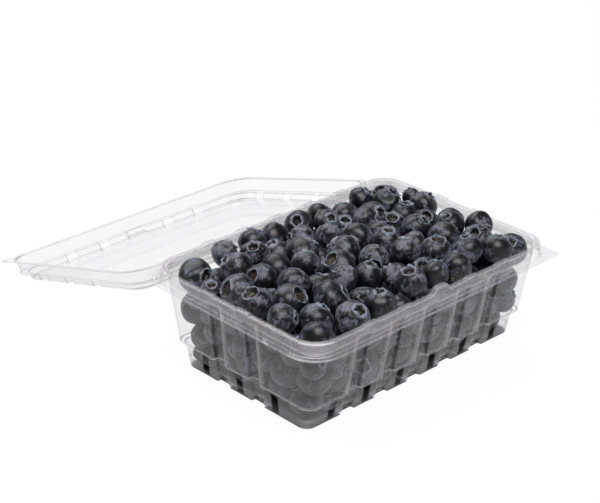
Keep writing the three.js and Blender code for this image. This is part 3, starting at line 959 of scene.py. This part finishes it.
def model_core():
    """The hidden middle of the heap, a body of painted shade, which stops light from showing between
    the berries.
    """
    bpy.ops.mesh.primitive_cube_add(size=2)
    core = bpy.context.object
    start_editing(core)
    bpy.ops.mesh.select_all(action="SELECT")
    bpy.ops.mesh.subdivide(number_cuts=CORE_CUTS, smoothness=CORE_ROUND)
    stop_editing()
    half_x, half_y = (side / 2 - WALL_TOP_INSET - CORE_COVER for side in (LENGTH, WIDTH))
    for vertex in core.data.vertices:
        x, y, z = vertex.co * (1 + CORE_LUMP * noise.noise(vertex.co * CORE_LUMP_SCALE))
        height = CORE_LOW + (z + 1) / 2 * (CORE_TOP - CORE_LOW)
        vertex.co = Vector((x * half_x, y * half_y, height)) * MM
    select_only(core)
    bpy.ops.object.shade_smooth()
    return core


# ---- Materials ----

# Noise scales are in waves per metre. A pair is either where a share starts and where it is full, as
# START, or what it then gives at 0 and at 1. A bump's pair is its strength and its height.
CLOUD_SCALE = 90
CLOUD = (0.8, 1.2)
STREAK_SCALE = 250
STREAK = (0.6, 1.4)
RIPPLE_SCALE = 60
RIPPLE = (0.1, 1 * MM)
HAZE_POWER = 5
SHEET_ROUGHNESS = 0.3
GLOSS_ROUGHNESS = 0.05
GLOSS_FACING = 0.022
GLOSS_EDGE_ON = 0.5

PATCH_SCALE = 150
SMUDGE_SCALE = 520
SMUDGE_WEIGHT = 1.1
TONE_WEIGHT = 0.12
SPECK_SCALE = 1600
SPECK_START = (0.35, 0.65)
SPECK = (0.6, 1.4)
BLOOM_START = (1.09, 1.36)
BLOOM_BY_TONE = (0.35, 0.75)
BLOOM_STRENGTH = 1.5
# Painted sheen towards the berries' outlines: how strong, and how fast it fades inwards.
EDGE_SHEEN = 0.55
EDGE_SHEEN_POWER = 4
RING_START = (0.05, 0.5)
RING_END = (0.6, 0.85)
PALE_START = (0.35, 0.6)
PALE = (0.35, 0.85)
HOLLOW_START = (0.7, 0.95)
PIT_START = (0.2, 1)
SCAR_START = (0.3, 0.9)
GRAIN = (0.35, 0.5 * MM)
SKIN_ROUGHNESS = (0.38, 0.68)
SKIN_COAT = 0.2
COAT_ROUGHNESS = 0.22

MATTE = {"Roughness": 0.85, "Specular IOR Level": 0.1}
CORE_GRAIN_SCALE = 200
CORE_GRAIN_DARK = 0.6
FLOOR_GRAIN_SCALE = 3
FLOOR_GRAIN_DARK = 0.96


class Value:
    """A number in a material's node tree. Sums, differences, products and powers add Math nodes."""

    def __init__(self, finish, socket):
        self.finish = finish
        self.socket = socket

    def __add__(self, other):
        return self.finish.math("ADD", self, other)

    def __rsub__(self, other):
        return self.finish.math("SUBTRACT", other, self)

    def __mul__(self, other):
        return self.finish.math("MULTIPLY", self, other)

    __radd__ = __add__
    __rmul__ = __mul__

    def __pow__(self, other):
        return self.finish.math("POWER", self, other)

    def between(self, low, high):
        """Low where the value is 0 and high where it is 1."""
        return low + (high - low) * self

    def at(self, name):
        """Another output of the same node."""
        return Value(self.finish, self.socket.node.outputs[name])


class Finish:
    """The nodes of one material, or of the surroundings."""

    def __init__(self, owner):
        self.owner = owner
        owner.use_nodes = True
        self.tree = owner.node_tree
        self.tree.nodes.clear()

    def node(self, kind, inputs=None, **settings):
        """Adds a node, sets its settings, then its sockets, and gives its first output."""
        node = self.tree.nodes.new(kind)
        for name, value in settings.items():
            setattr(node, name, value)
        for name, value in (inputs or {}).items():
            if isinstance(value, Value):
                self.tree.links.new(value.socket, node.inputs[name])
            else:
                node.inputs[name].default_value = value
        return Value(self, node.outputs[0]) if node.outputs else None

    def math(self, operation, first, second):
        return self.node("ShaderNodeMath", {0: first, 1: second}, operation=operation)

    def clamp(self, value):
        return self.node("ShaderNodeClamp", {"Value": value})

    def noise(self, scale, detail=2, roughness=0.5, distortion=0):
        place = self.node("ShaderNodeTexCoord").at("Object")
        sockets = {"Scale": scale, "Detail": detail, "Roughness": roughness, "Distortion": distortion}
        return self.node("ShaderNodeTexNoise", {"Vector": place, **sockets})

    def ramp(self, value, low, high):
        """0 below low and 1 above high, smoothly between."""
        sockets = {"Value": value, "From Min": low, "From Max": high}
        return self.node("ShaderNodeMapRange", sockets, interpolation_type="SMOOTHSTEP", clamp=True)

    def mask(self, attribute):
        return self.node("ShaderNodeAttribute", attribute_name=attribute).at("Fac")

    def facing(self):
        """0 straight on and 1 edge on."""
        return self.node("ShaderNodeLayerWeight", {"Blend": 0.5}).at("Facing")

    def bump(self, height, strength, distance):
        return self.node("ShaderNodeBump", {"Strength": strength, "Distance": distance, "Height": height})

    def mix(self, factor, first, second):
        """Mixes two colours, which a Mix node takes at its sockets 6 and 7 and gives at its output 2."""
        first, second = (tone if isinstance(tone, Value) else (*tone, 1) for tone in (first, second))
        return self.node("ShaderNodeMix", {0: factor, 6: first, 7: second}, data_type="RGBA").at(2)

    def body(self, sockets):
        return self.node("ShaderNodeBsdfPrincipled", sockets)

    def surface(self, shader):
        self.node("ShaderNodeOutputMaterial", {"Surface": shader})
        return self.owner


def clear_sheet(name, plastic, painted_fold_colour):
    """Clear plastic sheet: a faint haze straight on, more of it edge on, painted highlight lines at folds,
    under a gloss.
    """
    finish = Finish(bpy.data.materials.new(name))
    edge_on = finish.facing() ** HAZE_POWER
    # Along folds the sheet is painted paler (greyer on the lid) and less clear, as their highlights.
    fold = finish.mask("fold") * finish.noise(STREAK_SCALE).between(*STREAK)
    haze = plastic.haze * finish.noise(CLOUD_SCALE, detail=3).between(*CLOUD) + plastic.fold_line_highlight * fold
    sockets = {
        "Base Color": finish.mix(fold, plastic.tint, painted_fold_colour),
        "Roughness": SHEET_ROUGHNESS,
        "Specular IOR Level": 0,
        "Alpha": finish.clamp(haze + (plastic.edge_haze - plastic.haze) * edge_on),
    }
    ripple = finish.bump(finish.noise(RIPPLE_SCALE), *RIPPLE)
    shine = {"Color": (1, 1, 1, 1), "Roughness": GLOSS_ROUGHNESS, "Normal": ripple}
    gloss = finish.node("ShaderNodeBsdfGlossy", shine)
    layers = {0: GLOSS_FACING + GLOSS_EDGE_ON * edge_on, 1: finish.body(sockets), 2: gloss}
    return finish.surface(finish.node("ShaderNodeMixShader", layers))


def berry_skin(settings):
    """Dark skin under a patchy waxy bloom, paler at the outline as a painted sheen, with a dry crown and a
    yellow-brown stem scar.
    """
    finish = Finish(bpy.data.materials.new("berry_skin"))
    crown = finish.mask("crown")
    tone = finish.mask("tone")
    smudge = finish.noise(SMUDGE_SCALE, detail=5, roughness=0.7, distortion=0.6)
    patches = finish.noise(PATCH_SCALE) + SMUDGE_WEIGHT * smudge + TONE_WEIGHT * tone
    specks = finish.ramp(finish.noise(SPECK_SCALE, detail=3), *SPECK_START).between(*SPECK)
    bloom = finish.ramp(patches, *BLOOM_START) * tone.between(*BLOOM_BY_TONE) * specks
    # Towards the outline the bloom is painted paler, a painted sheen of the pale surroundings seen edge on.
    bloom = finish.clamp(BLOOM_STRENGTH * bloom + EDGE_SHEEN * finish.facing() ** EDGE_SHEEN_POWER)
    ring = finish.ramp(crown, *RING_START) * (1 - finish.ramp(crown, *RING_END))
    pale = ring * finish.ramp(smudge, *PALE_START).between(*PALE)
    hollow = finish.mix(finish.ramp(finish.mask("pit"), *PIT_START), settings.hollow, settings.pit)
    skin = finish.mix(bloom, settings.skin, finish.mix(tone, settings.bloom, settings.bloom_warm))
    skin = finish.mix(pale, skin, settings.ring)
    skin = finish.mix(finish.ramp(crown, *HOLLOW_START), skin, hollow)
    skin = finish.mix(finish.ramp(finish.mask("scar"), *SCAR_START), skin, settings.scar)
    sockets = {
        "Base Color": skin,
        "Roughness": bloom.between(*SKIN_ROUGHNESS),
        "Normal": finish.bump(smudge, *GRAIN),
        "IOR": 1.45,
        "Coat Weight": SKIN_COAT * (1 - bloom),
        "Coat Roughness": COAT_ROUGHNESS,
    }
    return finish.surface(finish.body(sockets))


def core_dark(tone):
    """Nearly black: painted shade, as in the gaps between berries."""
    finish = Finish(bpy.data.materials.new("core_dark"))
    dark = [channel * CORE_GRAIN_DARK for channel in tone]
    shade = finish.mix(finish.noise(CORE_GRAIN_SCALE), tone, dark)
    return finish.surface(finish.body({"Base Color": shade, **MATTE}))


def lit_floor(tone, glow):
    """A light table's top: pale and glowing all round, with a painted shadow where the punnet stands on it.
    """
    finish = Finish(bpy.data.materials.new("floor_lit"))
    dark = [channel * FLOOR_GRAIN_DARK for channel in tone]
    shade = finish.mix(finish.noise(FLOOR_GRAIN_SCALE), tone, dark)
    # The fold attribute carries the glow, which drops inside the base's outline as a painted shadow.
    light = finish.mix(finish.mask("fold"), (0, 0, 0), (glow, glow, glow))
    sockets = {"Base Color": shade, "Emission Color": light, "Emission Strength": 1, **MATTE}
    return finish.surface(finish.body(sockets))


# ---- Stage ----

CAMERA_AZIMUTH = math.radians(-43.7)
CAMERA_ELEVATION = math.radians(26.07)
CAMERA_ROLL = math.radians(0.523)
CAMERA_ASIDE = 26.69
CAMERA_UP = -49.12
CAMERA_DISTANCE = 882.7
SENSOR_WIDTH = 36

# Lamps: azimuth and elevation in degrees, distance and sides in metres.
Lamp = namedtuple("Lamp", "azimuth elevation distance width height")
KEY_LAMP = Lamp(-30, 66, 1.1, 0.8, 0.6)
BACK_LAMP = Lamp(170, 52, 1.3, 1.4, 0.8)

# Heights, as the sine of the elevation, over which the surroundings fade from white to their sides'
# brightness, and from that to their brightness overhead.
HORIZON_FADE = (0.04, 0.16)
OVERHEAD_FADE = (0.1, 0.7)


def direction(azimuth, elevation):
    """From the punnet towards a place round it: azimuth 0 is the front, 90 the +X end."""
    flat = math.cos(elevation)
    return Vector((math.sin(azimuth) * flat, -math.cos(azimuth) * flat, math.sin(elevation)))


def add_camera(lens):
    back = direction(CAMERA_AZIMUTH, CAMERA_ELEVATION)
    level = Vector((0, 0, 1)).cross(back).normalized()
    upright = back.cross(level)
    right = level * math.cos(CAMERA_ROLL) + upright * math.sin(CAMERA_ROLL)
    up = back.cross(right)
    place = back * CAMERA_DISTANCE - right * CAMERA_ASIDE - up * CAMERA_UP
    data = bpy.data.cameras.new("camera")
    data.lens = lens
    data.sensor_width = SENSOR_WIDTH
    camera = bpy.data.objects.new("camera", data)
    bpy.context.collection.objects.link(camera)
    turn = Matrix((right, up, back)).transposed().to_4x4()
    camera.matrix_world = Matrix.Translation(place * MM) @ turn
    bpy.context.scene.camera = camera


def add_light(name, lamp, watts):
    towards = direction(math.radians(lamp.azimuth), math.radians(lamp.elevation))
    bpy.ops.object.light_add(type="AREA", location=towards * lamp.distance)
    light = bpy.context.object
    light.name = name
    light.rotation_mode = "QUATERNION"
    light.rotation_quaternion = towards.to_track_quat("Z", "Y")
    light.data.shape = "RECTANGLE"
    light.data.size, light.data.size_y = lamp.width, lamp.height
    light.data.energy = watts


def inside(level, inset, **extra):
    """The same level, further in all round."""
    sides = {side: getattr(level, side) + inset for side in ("long", "short", "back")}
    return level._replace(**sides, **extra)


def add_floor(tone, glow):
    """The table's top. Its middle follows the outline of the tray's base, where its glow stops as a
    painted shadow.
    """
    base = wall_levels()[1]._replace(z=-FLOOR_GAP, fold=1)
    shade = inside(base, FLOOR_EDGE, fold=FLOOR_LIGHT)
    dark = inside(shade, FLOOR_SHADE, fold=0, groove=0)
    far = base._replace(z=-2 * FLOOR_GAP, long=-FLOOR_REACH, short=-FLOOR_REACH, back=-FLOOR_REACH)
    floor = extruded_sheet(tray_sides(), [dark, shade, base, far], pointed=None, upright=True)
    floor.name = "floor"
    floor.data.materials.append(lit_floor(tone, glow))


def add_surroundings(sides, overhead):
    """A tent round the table: white where it meets the floor, grey above that and dim overhead."""
    tent = Finish(bpy.data.worlds.new("surroundings"))
    towards = tent.node("ShaderNodeTexCoord").at("Generated")
    height = tent.node("ShaderNodeSeparateXYZ", {"Vector": towards}).at("Z")
    grey = tent.ramp(height, *OVERHEAD_FADE).between(sides, overhead)
    strength = grey + (1 - tent.ramp(height, *HORIZON_FADE))
    light = tent.node("ShaderNodeBackground", {"Color": (1, 1, 1, 1), "Strength": strength})
    tent.node("ShaderNodeOutputWorld", {"Surface": light})
    bpy.context.scene.world = tent.owner


# ---- Operators ----


class PUNNET_OT_tray(bpy.types.Operator):
    """Models the clear tray with its panels, slots, hollow rim, flange and lift tab"""

    bl_idname = "punnet.tray"
    bl_label = "Tray"

    def execute(self, context):
        plastic = context.scene.punnet_plastic
        material = clear_sheet("tray_sheet", plastic, plastic.tray_fold_highlight)
        finish_piece(model_tray(plastic), "tray_shell", "tray", "tray", material)
        return {"FINISHED"}


class PUNNET_OT_lid(bpy.types.Operator):
    """Models the clear lid with its two tiers, flutes and flange, lying open"""

    bl_idname = "punnet.lid"
    bl_label = "Lid"

    def execute(self, context):
        plastic = context.scene.punnet_plastic
        material = clear_sheet("lid_sheet", plastic, plastic.lid_fold_highlight_and_shade)
        finish_piece(model_lid(plastic), "lid_shell", "lid", "lid", material)
        return {"FINISHED"}


class PUNNET_OT_hinge(bpy.types.Operator):
    """Models the bent strip that joins the flanges, and lets it bend with the lid"""

    bl_idname = "punnet.hinge"
    bl_label = "Hinge strip"

    def execute(self, context):
        plastic = context.scene.punnet_plastic
        material = clear_sheet("hinge_sheet", plastic, plastic.lid_fold_highlight_and_shade)
        web = finish_piece(model_web(plastic), "hinge_strip", None, None, material)
        start = Vector((0, HINGE_Y - WEB_HALF, HINGE_Z)) * MM
        end = Vector((0, HINGE_Y + WEB_HALF, HINGE_Z)) * MM
        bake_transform(web, "tray", "lid", start=start, end=end)
        return {"FINISHED"}


class PUNNET_OT_berries(bpy.types.Operator):
    """Models the heap: packed berries of four kinds, each kind one piece"""

    bl_idname = "punnet.berries"
    bl_label = "Berries"

    def execute(self, context):
        settings = context.scene.punnet_berries
        material = berry_skin(settings)
        heap = list(enumerate(packed_berries()))
        for kind, crown in enumerate(CROWNS):
            berries = heap[kind :: len(CROWNS)]
            piece = model_berries(crown, berries, settings.unevenness)
            finish_piece(piece, f"berries_{crown.name}", "tray", "berries", material)
        return {"FINISHED"}


class PUNNET_OT_core(bpy.types.Operator):
    """Models the dark middle of the heap, a body of painted shade"""

    bl_idname = "punnet.core"
    bl_label = "Heap core"

    def execute(self, context):
        material = core_dark(context.scene.punnet_berries.skin)
        finish_piece(model_core(), "heap_core", "tray", "berries", material)
        return {"FINISHED"}


class PUNNET_OT_stage(bpy.types.Operator):
    """Adds the floor, the soft lights and the camera"""

    bl_idname = "punnet.stage"
    bl_label = "Stage"

    def execute(self, context):
        stage = context.scene.punnet_stage
        add_floor(stage.floor, stage.glow)
        add_surroundings(stage.tent, stage.fill)
        add_light("key_light", KEY_LAMP, stage.key)
        add_light("back_light", BACK_LAMP, stage.back)
        add_camera(stage.lens)
        context.scene.view_settings.view_transform = "Standard"
        context.scene.cycles.transparent_max_bounces = 32
        return {"FINISHED"}


OPERATORS = (
    PUNNET_OT_tray,
    PUNNET_OT_lid,
    PUNNET_OT_hinge,
    PUNNET_OT_berries,
    PUNNET_OT_core,
    PUNNET_OT_stage,
)


class PUNNET_PT_sidebar(bpy.types.Panel):
    bl_label = "Blueberry punnet"
    bl_idname = "PUNNET_PT_sidebar"
    bl_space_type = "VIEW_3D"
    bl_region_type = "UI"
    bl_category = "Punnet"

    def draw(self, context):
        for settings in SETTINGS:
            group = getattr(context.scene, settings)
            for name in group.bl_rna.properties.keys():
                if name not in ("rna_type", "name"):
                    self.layout.prop(group, name)
        for operator in OPERATORS:
            self.layout.operator(operator.bl_idname)


SETTINGS = {
    "punnet_plastic": PunnetPlastic,
    "punnet_berries": PunnetBerries,
    "punnet_stage": PunnetStage,
}


def register():
    for group in (*SETTINGS.values(), *OPERATORS, PUNNET_PT_sidebar):
        bpy.utils.register_class(group)
    for name, group in SETTINGS.items():
        setattr(bpy.types.Scene, name, bpy.props.PointerProperty(type=group))


def unregister():
    for name in SETTINGS:
        delattr(bpy.types.Scene, name)
    for group in reversed((*SETTINGS.values(), *OPERATORS, PUNNET_PT_sidebar)):
        bpy.utils.unregister_class(group)


def main():
    register()
    bpy.ops.punnet.tray()
    bpy.ops.punnet.lid()
    bpy.ops.punnet.hinge()
    bpy.ops.punnet.core()
    bpy.ops.punnet.berries()
    bpy.ops.punnet.stage()


if __name__ == "__main__":
    main()
